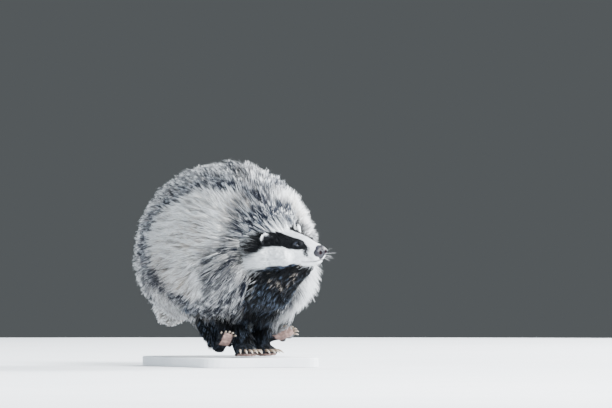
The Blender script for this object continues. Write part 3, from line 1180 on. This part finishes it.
PLATE, nt, s = new_material("base_matt", 0.62, 0.3)
speck = noise_at(nt, 1400.0, 3.0)
cloud = noise_at(nt, 14.0, 3.0)
col = ramp(nt, cloud, (0.3, tuple(linear(206, 209, 213))), (0.7, tuple(linear(218, 220, 223))))
nt.links.new(mixed(nt, ramp(nt, speck, (0.45, 0.0), (0.62, 0.10)), col, tuple(linear(188, 190, 194))), s.inputs["Base Color"])
rough = ramp(nt, cloud, (0.3, 0.58), (0.7, 0.68))
nt.links.new(rough, s.inputs["Roughness"])
bumped(nt, s, speck, 0.12, 0.0003)

# ---- the skin piece ----------------------------------------------------------------------------------
collection = bpy.context.scene.collection


def add_piece(name, me, material, smooth_shade=True):
    o = bpy.data.objects.new(name, me)
    me.name = name
    collection.objects.link(o)
    me.materials.clear()
    me.materials.append(material)
    if smooth_shade:
        me.shade_smooth()
    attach(o, "root")
    return o


def put(me, name, values, kind="FLOAT", domain="POINT"):
    a = me.attributes.new(name, kind, domain)
    key = {"FLOAT": "value", "FLOAT_VECTOR": "vector", "FLOAT_COLOR": "color"}[kind]
    a.data.foreach_set(key, np.asarray(values, np.float32).ravel())


def rgba(c, a=1.0):
    out = np.ones((len(c), 4))
    out[:, :3] = c
    out[:, 3] = a
    return out


root_c, tip_c, dark_c, black_c, _ = marks(v, ids)
bare = soles(v, n, ids)
under = root_c * 0.75 + tip_c * 0.25
pile = np.where(is_in(ids, "head", "ear_left", "ear_right"), 1.0, 0.35)
on_face = is_in(ids, "head") & (h[:, 0] > -0.09)
under = np.where(on_face[:, None], tip_c, under * pile[:, None])
q = mirrored(h)
dist, _ = to_line(q * FLAT, MOUTH * FLAT)
lip_dark = np.exp(-(dist / 0.0016) ** 2) * mouth_skin
_, _, zz, ss = eye_space(h)
near_eye = ring & (zz > 0)
lid_dark = np.where(near_eye, smooth(2.25, 1.95, ss), 0)
under = under * (1 - 0.93 * lip_dark[:, None])
# coordinates along and across the nap, for its fine streaks
angle = np.arctan2(h[:, 2] + 0.006, h[:, 1])
lay = np.stack([h[:, 0] * 260, angle * np.maximum(np.hypot(h[:, 1], h[:, 2] + 0.006), 0.004) * 1500, np.zeros(len(v))], 1)

set_points(skin_mesh, v)
put(skin_mesh, "mark", rgba(under), "FLOAT_COLOR")
put(skin_mesh, "lay", lay, "FLOAT_VECTOR")
put(skin_mesh, "bare", bare)
put(skin_mesh, "lid", np.clip(lid_dark, 0, 1))
layer = skin_mesh.uv_layers.new(name="OFBake")
loops = np.empty(len(skin_mesh.loops), np.int32)
skin_mesh.loops.foreach_get("vertex_index", loops)
order = np.argsort(np.zeros(1))
tri_poly = np.empty(len(skin_mesh.loop_triangles), np.int32)
skin_mesh.calc_loop_triangles()
tri_loops = np.empty(len(skin_mesh.loop_triangles) * 3, np.int32)
skin_mesh.loop_triangles.foreach_get("loops", tri_loops)
flat_uv = np.zeros((len(loops), 2))
flat_uv[tri_loops] = skin_uv.reshape(-1, 2)
layer.data.foreach_set("uv", flat_uv.astype(np.float32).ravel())
skin = add_piece("badger_skin", skin_mesh, SKIN)
FLESH = ["trunk", "neck", "head", "tail", "ear_left", "ear_right", "foreleg_left", "foreleg_right",
         "hindleg_left", "hindleg_right", "forepaw_left", "forepaw_right", "hindpaw_left", "hindpaw_right"]
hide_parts(*FLESH)

# ---- eyes, nose, claws, whiskers ------------------------------------------------------------------------
for side, name in ((-1, "eye_right"), (1, "eye_left")):
    at = head_point(EYE_AT[0], side * EYE_AT[1], EYE_AT[2])
    out_way = np.array([EYE_OUT[0], side * EYE_OUT[1], EYE_OUT[2]]) @ HEAD
    long_way = unit(np.cross(out_way, HW))
    turn = np.stack([long_way, np.cross(out_way, long_way), out_way])
    bv, bf = ball((0, 0, 0), (1, 1, 1), None, 48, 32)
    off = np.degrees(np.arccos(np.clip(bv[:, 2], -1, 1)))
    bulge = 1 + 0.06 * smooth(46, 20, off)                       # the cornea stands a little proud
    me = outward(mesh_of(name + "_ball", (bv * (EYE_RADIUS * bulge)[:, None]) @ turn + at, bf))
    put(me, "iris", np.clip(off / 90, 0, 1))
    o = add_piece(name + "_ball", me, EYE)
    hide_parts(name)


def nose_piece():
    turn = HEAD
    pad = [ball(head_point(-0.0085, 0, -0.0002), (0.0085, 0.0118, 0.0102), turn, 40, 28),
           ball(head_point(-0.0110, 0, 0.0042), (0.0085, 0.0092, 0.0066), turn, 32, 22),
           ball(head_point(-0.0090, 0, -0.0078), (0.0062, 0.0050, 0.0052), turn, 28, 20)]
    for side in (-1, 1):
        pad.append(ball(head_point(-0.0085, side * 0.0078, -0.0010), (0.0070, 0.0056, 0.0068), turn, 28, 20))
    me = with_modifiers(outward(mesh_of("pad", *collected(pad))), ("REMESH", dict(mode="VOXEL", voxel_size=0.00034, adaptivity=0.0)))
    p = points_of(me)
    ed = edges_of(me)
    p = diffuse(p, ed, len(p), 22)
    tr = triangles_of(me)
    hp_ = to_head(p)
    nn = vertex_normals(p, tr)
    q_ = mirrored(hp_)
    # nostrils: round in front, each with a slit that curls out and back to the wing
    d = (q_ - (-0.0015, 0.0058, -0.0006)) / (0.0052, 0.0025, 0.0028)
    hole = smooth(1.15, 0.75, np.linalg.norm(d, axis=1))
    curl = np.array([(-0.0010, 0.0070, -0.0012), (-0.0030, 0.0094, -0.0026), (-0.0062, 0.0112, -0.0032)])
    dc, _ = to_line(q_, curl)
    slit = np.exp(-(dc / 0.00085) ** 2)
    groove = np.exp(-(q_[:, 1] / 0.00060) ** 2) * smooth(0.0050, -0.0010, q_[:, 2])
    front_only = smooth(-0.0105, -0.0060, q_[:, 0])
    p = p - HU * (0.0042 * hole * front_only)[:, None] - nn * (0.0011 * slit * (1 - hole) + 0.0009 * groove * front_only)[:, None]
    p = p + nn * (0.0004 * np.exp(-((np.linalg.norm(d, axis=1) - 1.45) / 0.25) ** 2))[:, None] * front_only[:, None]
    p = diffuse(p, ed, len(p), 2, 0.4)
    mid = np.array([-0.0085, 0, -0.0005])
    p = NOSE_TIP + ((to_head(p) - mid) * (1.05, 1.14, 1.14) + mid) @ HEAD
    set_points(me, p)
    put(me, "deep", np.clip(hole * 1.2 + slit * 0.8, 0, 1) * front_only)
    return me


o = add_piece("nose_pad", nose_piece(), NOSE)
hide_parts("nose")

for paw, p in PAWS.items():
    forms, grow, names = [], [], []
    for k, (root, splay) in enumerate(toe_layout(p)):
        cv, cf = claw_form(p, root, splay)
        forms.append((cv, cf))
        d = np.linalg.norm(cv - cv[:16].mean(0), axis=1)
        grow.append(d / d.max())
        names.append(f"claw_{paw}_{k + 1}")
    me = outward(mesh_of("claws_" + paw, *collected(forms)))
    put(me, "grow", np.concatenate(grow))
    o = add_piece("claws_" + paw, me, HORN)
    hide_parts(*names)


def thread(points, radius, sides=5):
    rows = [(*p, r, r, r, 2.0) for p, r in zip(points, radius)]
    return tube(rows, up=(0.1, 0.2, 1), rings=len(rows), sides=sides)


def whisker_piece():
    rng = np.random.default_rng(11)
    forms, grow = [], []

    def one(root, way, droop, length, r):
        way = unit(way)
        at = np.linspace(0, 1, 9)
        pts = [root + way * length * a + droop * length * a * a for a in at]
        f = thread(pts, r * (1 - at) ** 0.7 + 0.00004)
        forms.append(f)
        d = np.linalg.norm(f[0] - root, axis=1)
        grow.append(d / d.max())

    for sd in (-1, 1):
        for i in range(5):
            for j in range(3):
                root = head_point(-0.0150 - 0.0052 * i, sd * (0.0125 + 0.0006 * i), -0.0085 - 0.0032 * j + 0.0004 * i)
                way = HU * (0.30 - 0.16 * i + rng.normal(0, 0.10)) + HV * sd * (0.85 + rng.normal(0, 0.06)) \
                    + HW * (0.10 - 0.20 * j + rng.normal(0, 0.08))
                one(root, way, HU * -0.16 + np.array([0, 0, -0.10 + rng.normal(0, 0.05)]), rng.uniform(0.020, 0.032), 0.00011)
        for i in range(3):                                            # on the chin
            root = head_point(-0.018 - 0.004 * i, sd * 0.006, -0.0245)
            way = HU * (0.3 - 0.2 * i) + HV * sd * 0.45 - HW * 0.75
            one(root, way, HU * -0.2, rng.uniform(0.010, 0.016), 0.00014)
    me = outward(mesh_of("whiskers", *collected(forms)))
    put(me, "grow", np.concatenate(grow))
    return me


add_piece("whiskers", whisker_piece(), WHISKER)

# ---- the coat ----------------------------------------------------------------------------------------------
lie, length, lift_a, lift_b, width, dense = coat_fields(v, n, ids)
lie = lie - n * np.sum(lie * n, axis=1, keepdims=True)
calm = np.where(is_in(ids, "trunk", "neck"), 1.0, 0.35)
lie = unit(diffuse(unit(lie), e, len(v), 60, 0.5, calm))
fields = diffuse(np.stack([length, lift_a, lift_b, width], 1), e, len(v), 10)
direct = smooth(-0.105, -0.060, h[:, 0]) * is_in(ids, "head")
fields[:, 0] = length * direct + fields[:, 0] * (1 - direct)
EAR = is_in(ids, "ear_left", "ear_right")
for k, a in enumerate((length, lift_a, lift_b, width)):
    fields[:, k] = np.where(EAR, a, fields[:, k])
dense = np.where(bare > 0.25, 0, dense)
# no hair in the eye's opening, at the nose pad's edge or in the mouth
clear_eye = near_eye & (ss < 1.45)
dense = np.where(clear_eye, 0, dense)
dense = np.where((h[:, 0] > -0.0095), 0, dense)
dense = np.where(mouth_skin & (dist < 0.0020), 0, dense)
area = np.linalg.norm(np.cross(v[tris[:, 1]] - v[tris[:, 0]], v[tris[:, 2]] - v[tris[:, 0]]), axis=1) / 2
hope = area * dense[tris].mean(1)
budget = 138000
print("locks wanted", int(hope.sum()), "for budget", budget)
count = budget
pick = RNG.choice(len(tris), size=count, p=hope / hope.sum())
b = RNG.random((count, 2))
flip = b.sum(1) > 1
b[flip] = 1 - b[flip]
bary = np.stack([1 - b.sum(1), b[:, 0], b[:, 1]], 1)


def at_roots(values):
    values = np.asarray(values)
    if values.ndim == 1:
        values = values[:, None]
    return np.einsum("nk,nkc->nc", bary, values[tris[pick]])


P = at_roots(v)
N = unit(at_roots(n))
D = unit(at_roots(lie))
F = at_roots(fields)
label = ids[tris[pick, 0]]
UV = np.einsum("nk,nkc->nc", bary, skin_uv[pick])
root_c, tip_c, dark_c, _, _ = marks(P, label)
fur_head = is_in(label, "head", "ear_left", "ear_right")

# locks: hairs near each other lean together
on_leg = ~is_in(label, "trunk", "neck", "tail", "throat", "head", "ear_left", "ear_right")
sway = wander(P, 0.018, 11) + 0.6 * wander(P, 0.007, 12)
jitter = RNG.normal(0, 1, (count, 4))
loose = np.where(fur_head, 0.10, np.where(on_leg, 0.22, 0.24))
guard = (RNG.random(count) < np.where(dark_c > 0.5, 0.35, 0.42)) | (fur_head & (dark_c < 0.45))
S = np.cross(N, D)
D = unit(D + S * (sway[:, :1] * loose[:, None] + jitter[:, :1] * loose[:, None] * 0.45))
S = np.cross(N, D)
L = F[:, 0].copy()
few = np.where(fur_head, 0.3, 1)
la = np.radians((F[:, 1] * (1 + 0.12 * sway[:, 2]) + 4 * jitter[:, 2] * few).clip(2, 80))
lb = np.radians((F[:, 2] * (1 + 0.16 * sway[:, 2]) + 4 * jitter[:, 3] * few).clip(-8, 70))
W = F[:, 3] * RNG.uniform(0.75, 1.3, count) * np.where(guard, np.where(fur_head, 1.0, 1.14), 1.12)

D0 = D * np.cos(la)[:, None] + N * np.sin(la)[:, None]
D1 = D * np.cos(lb)[:, None] + N * np.sin(lb)[:, None]
BASE = P - N * 0.0008

# the tips end where the solids do
sv, sf, n_ = [], [], 0
for name in FLESH:
    me = frame["nodes"][name].data
    sv.append(points_of(me) - SHIFT)
    sf.append(triangles_of(me) + n_)
    n_ += len(sv[-1])
outside = BVHTree.FromPolygons(np.concatenate(sv).tolist(), np.concatenate(sf).tolist())
chord = (D0 + D1) * 0.5
span = np.linalg.norm(chord, axis=1)
way = chord / span[:, None]
FAR_OUT = 0.110
fit = np.ones(count)
for i in np.flatnonzero(~fur_head).tolist():
    hit = outside.ray_cast(Vector(BASE[i] + way[i] * FAR_OUT), Vector(-way[i]), FAR_OUT)
    fit[i] = (FAR_OUT - hit[3]) / (L[i] * span[i]) if hit[0] is not None else 0.5
print("fit", np.percentile(fit[~fur_head], (1, 10, 50, 90, 99)).round(2))
fit = np.where(on_leg, fit.clip(0.6, 1.25), fit.clip(0.60, 1.25) * 1.05)
L = L * np.where(fur_head, 1.0, fit)
# tufts: each lock follows the nearest leader
share = np.where(fur_head, 0.20, np.where(on_leg, 0.20, 0.24))
leaders = np.flatnonzero((RNG.random(count) < share) & guard)
tree = kdtree.KDTree(len(leaders))
for i, q_ in enumerate(P[leaders].tolist()):
    tree.insert(q_, i)
tree.balance()
leader = leaders[np.array([tree.find(q_)[1] for q_ in P.tolist()])]
own, led = RNG.normal(0, 1, (count, 3)), RNG.normal(0, 1, (count, 4))[leader]
L = L * (1 + np.where(fur_head, 0.05, 0.08) * led[:, 3].clip(-2, 1.6) + 0.05 * own[:, 0].clip(-2, 2))
L = L * np.where(guard, 1.0, 0.74)
MID = BASE + D0 * L[:, None] * 0.5
TIP = MID + D1 * L[:, None] * 0.5 + S * (jitter[:, :1] * 0.05 * L[:, None])

# it bends to it, most at its tip, and shares its shade
apart = np.linalg.norm(P - P[leader], axis=1)
pull = np.where(fur_head, np.where(dark_c > 0.45, 0.62, 0.30), np.where(guard, np.where(on_leg, 0.60, 0.80), 0.25)) * (1 + 0.14 * RNG.normal(0, 1, count))
pull = pull.clip(0, 0.92) * smooth(0.016, 0.008, apart) * smooth(0.2, 0.6, np.sum(N * N[leader], axis=1))
TIP = TIP + (TIP[leader] - TIP) * pull[:, None]
MID = MID + (MID[leader] - MID) * (pull * 0.50)[:, None]

face_streak = wander(to_head(P) * np.array([0.22, 1, 1]), 0.0020, 31)[:, 0] * fur_head
root_c = np.clip(root_c * (1 + np.where(fur_head, 0.02, 0.10) * led[:, 0] + 0.06 * own[:, 0] - 0.06 * fur_head + 0.22 * face_streak)[:, None], 0, 1)
tip_c = np.clip(tip_c * (1 + np.where(fur_head, 0.02, 0.055) * led[:, 0] + 0.03 * own[:, 1] - 0.02 * fur_head + 0.22 * face_streak)[:, None], 0, 1)
dark_c = np.clip(dark_c * (1 + 0.14 * led[:, 1] + 0.10 * own[:, 2]), 0, 1)
shift_t = np.where(fur_head, 0.0, dark_c ** 2 * 0.06 * led[:, 2] * guard + 0.020 * RNG.normal(0, 1, count))


def coat_mesh(name, k):
    m = len(k)
    base, mid, tip, nn, w_ = BASE[k], MID[k], TIP[k], N[k], W[k, None]
    d0 = unit(mid - base)
    s_ = unit(np.cross(nn, d0))
    u0 = unit(np.cross(d0, s_))
    co = np.empty((m, 7, 3))
    co[:, 0], co[:, 1], co[:, 2] = base - s_ * w_ * 0.5, base + s_ * w_ * 0.5, base + u0 * w_ * 0.45
    wm = w_ * 0.82
    co[:, 3], co[:, 4], co[:, 5] = mid - s_ * wm * 0.5, mid + s_ * wm * 0.5, mid + u0 * wm * 0.45
    co[:, 6] = tip
    co = co.reshape(-1, 3) + SHIFT
    one = np.array([(0, 2, 1), (0, 1, 4), (0, 4, 3), (1, 2, 5), (1, 5, 4), (2, 0, 3), (2, 3, 5), (3, 4, 6), (4, 5, 6), (5, 3, 6)])
    faces = (one[None] + 7 * np.arange(m)[:, None, None]).reshape(-1)
    me = bpy.data.meshes.new(name)
    me.vertices.add(7 * m)
    me.vertices.foreach_set("co", co.astype(np.float32).ravel())
    me.loops.add(len(faces))
    me.loops.foreach_set("vertex_index", faces.astype(np.int32))
    me.polygons.add(len(faces) // 3)
    me.polygons.foreach_set("loop_start", np.arange(0, len(faces), 3, dtype=np.int32))
    me.update(calc_edges=True)
    tt = np.array([0, 0, 0, 0.5, 0.5, 0.5, 1.0])
    low = np.where(fur_head[k], 0.55, 0.0)[:, None]
    top = np.where(guard[k], 1.0, 0.74)[:, None]
    put(me, "along", (low + (top - low) * tt[None] + shift_t[k][:, None] * np.array([0, 0, 0, 1, 1, 1, 1])[None]).clip(0, 1).ravel())
    put(me, "root_colour", np.repeat(rgba(root_c[k]), 7, axis=0), "FLOAT_COLOR")
    put(me, "tip_colour", np.repeat(rgba(tip_c[k], dark_c[k]), 7, axis=0), "FLOAT_COLOR")
    spot = np.array([(-0.0011, -0.0015), (0.0011, -0.0015), (0, -0.0015), (-0.0009, 0), (0.0009, 0), (0, 0), (0, 0.0015)])
    uv = (UV[k][:, None, :] + spot[None]).reshape(-1, 2)[faces]
    layer = me.uv_layers.new(name="OFBake")
    layer.data.foreach_set("uv", uv.astype(np.float32).ravel())
    return me


SLOT_OF = {"trunk": "coat_grey", "neck": "coat_grey", "throat": "coat_black", "tail": "coat_cream", "head": "coat_white",
           "legs": "coat_black"}
kinds = np.array([{"ear_left": "head", "ear_right": "head"}.get(x, x if x in SLOT_OF else "legs") for x in LABELS])[label]
for kind in ("trunk", "neck", "throat", "tail", "head", "legs"):
    k = np.flatnonzero(kinds == kind)
    if not len(k):
        continue
    k = k[np.argsort(UV[k, 1] + 0.13 * UV[k, 0])]
    parts = int(np.ceil(len(k) / 19500))
    for i, c in enumerate(np.array_split(k, parts)):
        add_piece(f"coat_{kind}_{i + 1}", coat_mesh(f"coat_{kind}_{i + 1}", c), COAT)
    print("coat", kind, len(k), "locks in", parts)

# everything but the coat was laid out in the body's own frame
for o in bpy.data.objects:
    if o.type == "MESH" and "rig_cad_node" not in o and not o.name.startswith("coat_"):
        o.data.transform(Matrix.Translation(SHIFT.tolist()))

plate = frame["nodes"]["stand_base"]
plate.data.materials.clear()
plate.data.materials.append(PLATE)

# ---- floor, light and camera ---------------------------------------------------------------------------------
FLOOR, nt, s = new_material("floor", 0.85, 0.2)
nt.links.new(ramp(nt, noise_at(nt, 3.0, 2.0), (0.3, tuple(linear(214, 217, 221))), (0.7, tuple(linear(220, 222, 225)))), s.inputs["Base Color"])
az = math.radians(67.0)
RIGHT = np.array([math.cos(az), math.sin(az), 0])
TOWARDS = np.array([math.sin(az), -math.cos(az), 0])
th = np.linspace(0, 2 * np.pi, 97)[:-1]
ring_ = np.stack([np.cos(th), np.sin(th), np.zeros(96)], 1) * 3.9
ring_[:, 2] = -0.0005
me = mesh_of("floor", ring_, [list(range(96))])
floor = bpy.data.objects.new("floor", me)
me.materials.append(FLOOR)
collection.objects.link(floor)

world = bpy.data.worlds.new("studio")
world.use_nodes = True
bg = world.node_tree.nodes["Background"]
bg.inputs["Color"].default_value = (0.86, 0.95, 1.0, 1)
bg.inputs["Strength"].default_value = 0.11
bpy.context.scene.world = world


def lamp(name, at, aim, size, power, colour=(1, 1, 1)):
    d = bpy.data.lights.new(name, "AREA")
    d.shape, d.size, d.energy, d.color = "DISK", size, power, colour
    o = bpy.data.objects.new(name, d)
    o.location = Vector(at)
    o.rotation_euler = (Vector(aim) - Vector(at)).to_track_quat("-Z", "Y").to_euler()
    o.visible_camera = False
    collection.objects.link(o)


heart = np.array([-0.02, 0, 0.22])
lamp("key", heart + RIGHT * 2.2 + TOWARDS * 3.2 + np.array([0, 0, 3.4]), heart, 3.0, 1300, (0.96, 0.985, 1.0))
lamp("fill", heart - RIGHT * 4.4 + TOWARDS * 3.0 + np.array([0, 0, 1.8]), heart, 4.4, 300, (0.84, 0.93, 1.0))
lamp("rim", heart + RIGHT * 3.8 - TOWARDS * 2.6 + np.array([0, 0, 1.8]), heart, 2.4, 1240, (0.97, 0.99, 1.0))
lamp("back", heart - RIGHT * 1.2 - TOWARDS * 3.2 + np.array([0, 0, 4.4]), heart, 3.0, 270, (0.86, 0.94, 1.0))

DISTANCE = 18.0
aim = SHIFT + RIGHT * 0.1308 + np.array([0, 0, 0.2942])
cam = bpy.data.cameras.new("camera")
cam.sensor_width = 36.0
cam.lens = 36.0 * DISTANCE * 520 / 612
cam.clip_start, cam.clip_end = 0.5, 100
co = bpy.data.objects.new("camera", cam)
co.location = Vector(aim + TOWARDS * DISTANCE)
co.rotation_euler = (Vector(aim) - co.location).to_track_quat("-Z", "Y").to_euler()
collection.objects.link(co)
bpy.context.scene.camera = co
